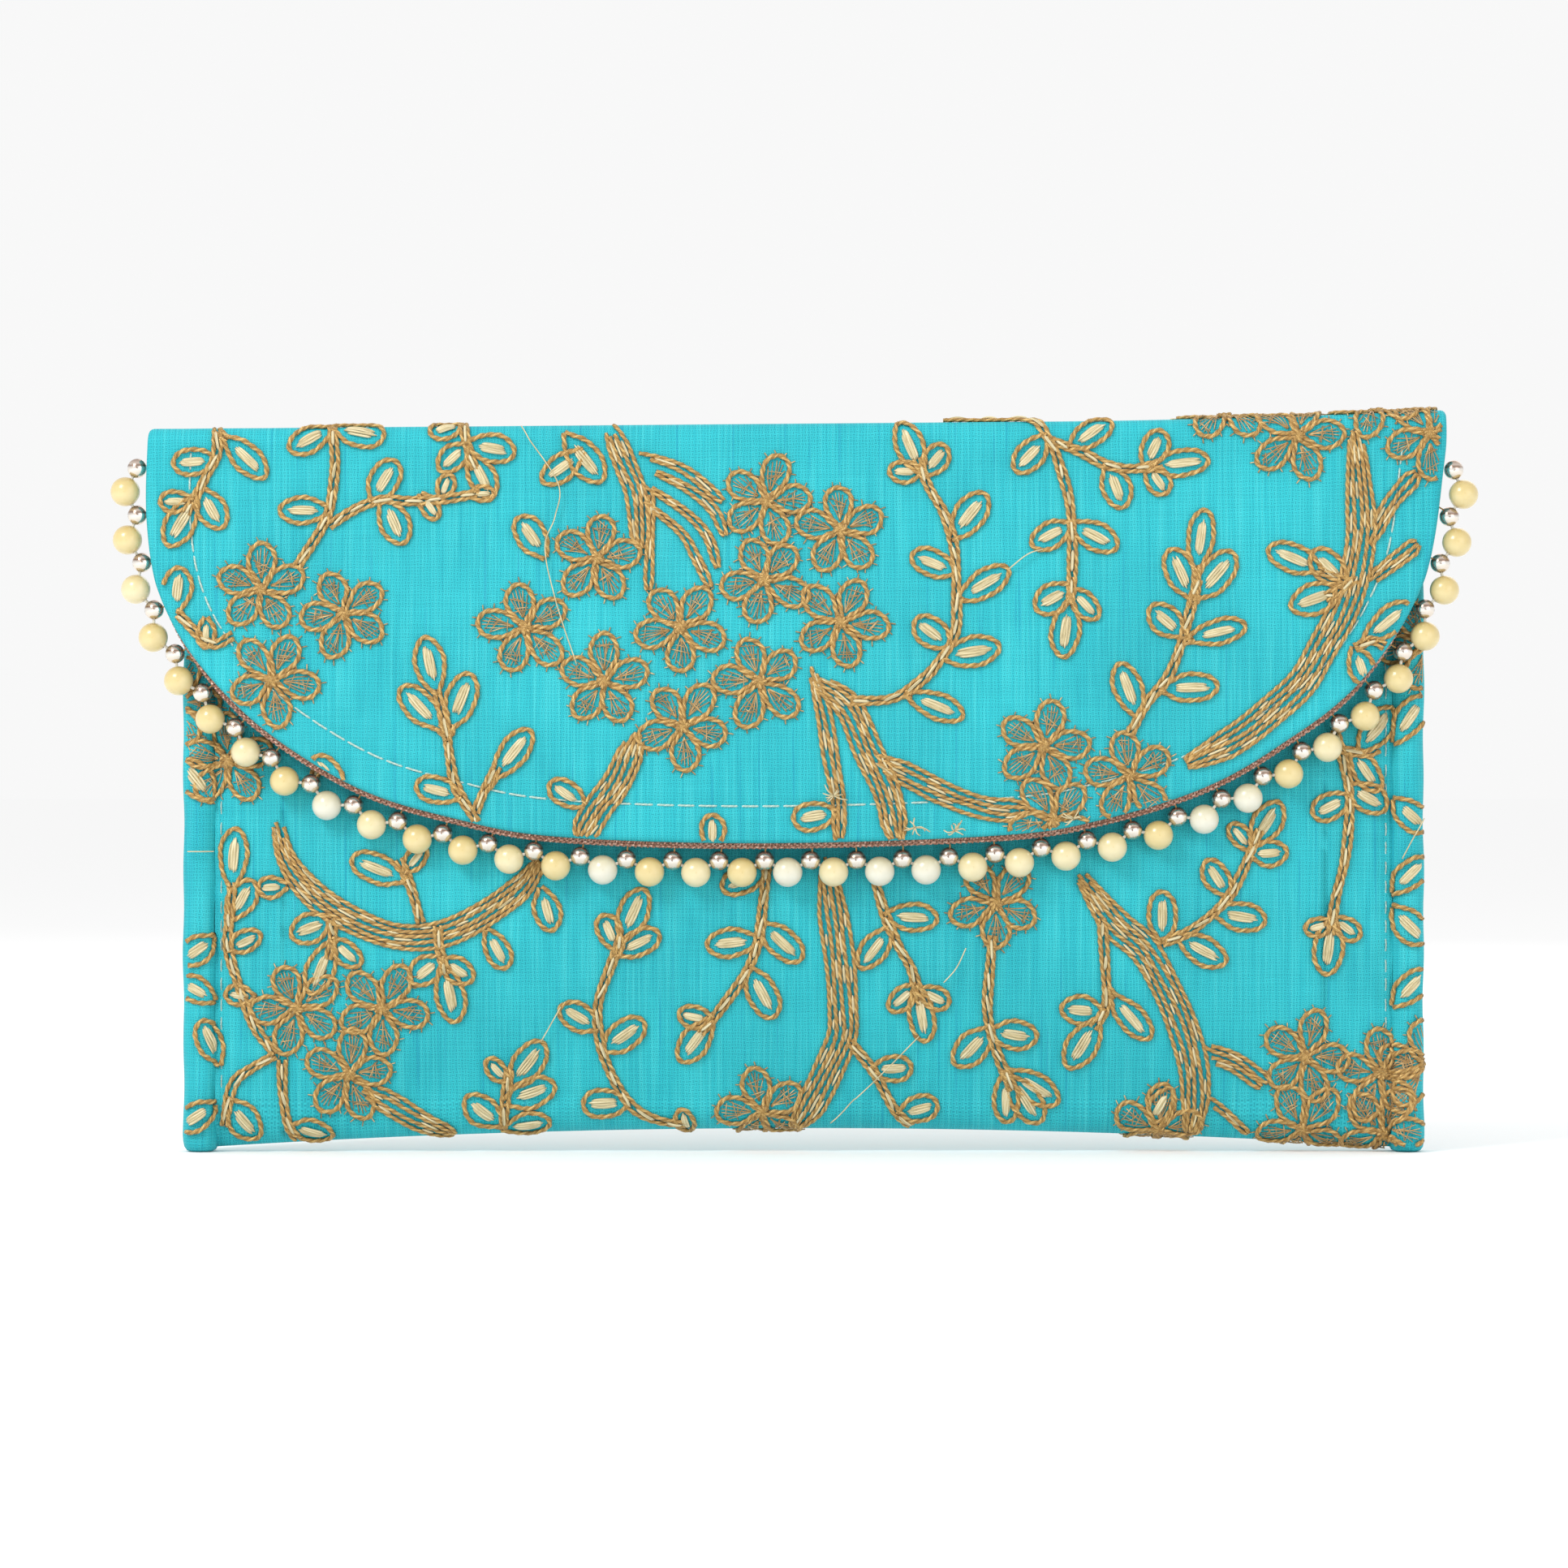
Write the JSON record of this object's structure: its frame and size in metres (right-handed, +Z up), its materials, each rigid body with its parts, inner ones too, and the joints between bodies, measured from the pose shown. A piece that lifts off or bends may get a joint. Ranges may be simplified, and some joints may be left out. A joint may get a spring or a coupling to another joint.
{
  "type": "clutch purse",
  "caption": "Soft fabric clutch with a scalloped front flap, magnetic snap, rolled side hems and a pearl and metal bead edging.",
  "frame": {"origin": "on the surface the purse stands on, under the middle of its box", "axes": "+Z up, the front with the flap looks along -Y, +X to the right of someone looking at the front"},
  "size_m": [0.2792, 0.0285, 0.1486],
  "materials": {
    "raw_silk": "plain weave with slubs, soft sheen",
    "lining": "smooth satin",
    "stiffener": "non-woven, matte",
    "copper_gimp": "metallic thread",
    "thread": "waxed thread",
    "gold_cord": "twisted metallic cord",
    "cream_thread": "satin stitch",
    "pearl": "pearlescent",
    "silver_bead": "mirror plated",
    "snap_metal": "plated",
    "snap_washer": "satin",
    "magnet": "dull"
  },
  "bodies": {
    "pouch": {"front_panel": "raw_silk", "back_panel": "raw_silk", "bottom_fold": "raw_silk", "side_hem_left": "raw_silk", "side_hem_right": "raw_silk", "front_stiffener": "stiffener", "back_stiffener": "stiffener", "lining_front": "lining", "lining_back": "lining", "lining_bottom": "lining", "snap_socket": "snap_metal", "snap_magnet": "magnet", "snap_socket_washer": "snap_washer"},
    "fold": {"top_fold": "raw_silk", "top_fold_lining": "lining"},
    "flap": {"flap_panel": "raw_silk", "flap_stiffener": "stiffener", "flap_lining": "lining", "lace_tape": "copper_gimp", "silver_beads": "silver_bead", "bead_thread": "thread", "snap_stud": "snap_metal", "snap_stud_washer": "snap_washer", "pearl_01": "pearl", "pearl_02": "pearl", "pearl_03": "pearl", "pearl_04": "pearl", "pearl_05": "pearl", "pearl_06": "pearl", "pearl_07": "pearl", "pearl_08": "pearl", "pearl_09": "pearl", "pearl_10": "pearl", "pearl_11": "pearl", "pearl_12": "pearl", "pearl_13": "pearl", "pearl_14": "pearl", "pearl_15": "pearl", "pearl_16": "pearl", "pearl_17": "pearl", "pearl_18": "pearl", "pearl_19": "pearl", "pearl_20": "pearl", "pearl_21": "pearl", "pearl_22": "pearl", "pearl_23": "pearl", "pearl_24": "pearl", "pearl_25": "pearl", "pearl_26": "pearl", "pearl_27": "pearl", "pearl_28": "pearl", "pearl_29": "pearl", "pearl_30": "pearl", "pearl_31": "pearl", "pearl_32": "pearl", "pearl_33": "pearl", "pearl_34": "pearl", "pearl_35": "pearl", "pearl_36": "pearl", "pearl_37": "pearl"}
  },
  "joints": [
    {"name": "fold_hinge", "type": "hinge", "parent": "pouch", "child": "fold", "pos_m": [0, 0.00805, 0.1486], "axis": [-1, 0, 0], "range_deg": [0, 90]},
    {"name": "flap_hinge", "type": "hinge", "parent": "fold", "child": "flap", "pos_m": [0, -0.00585, 0.1486], "axis": [-1, 0, 0], "range_deg": [0, 90]}
  ],
  "couplings": [
    {"joint": "fold_hinge", "follows": "flap_hinge", "ratio": 1}
  ]
}
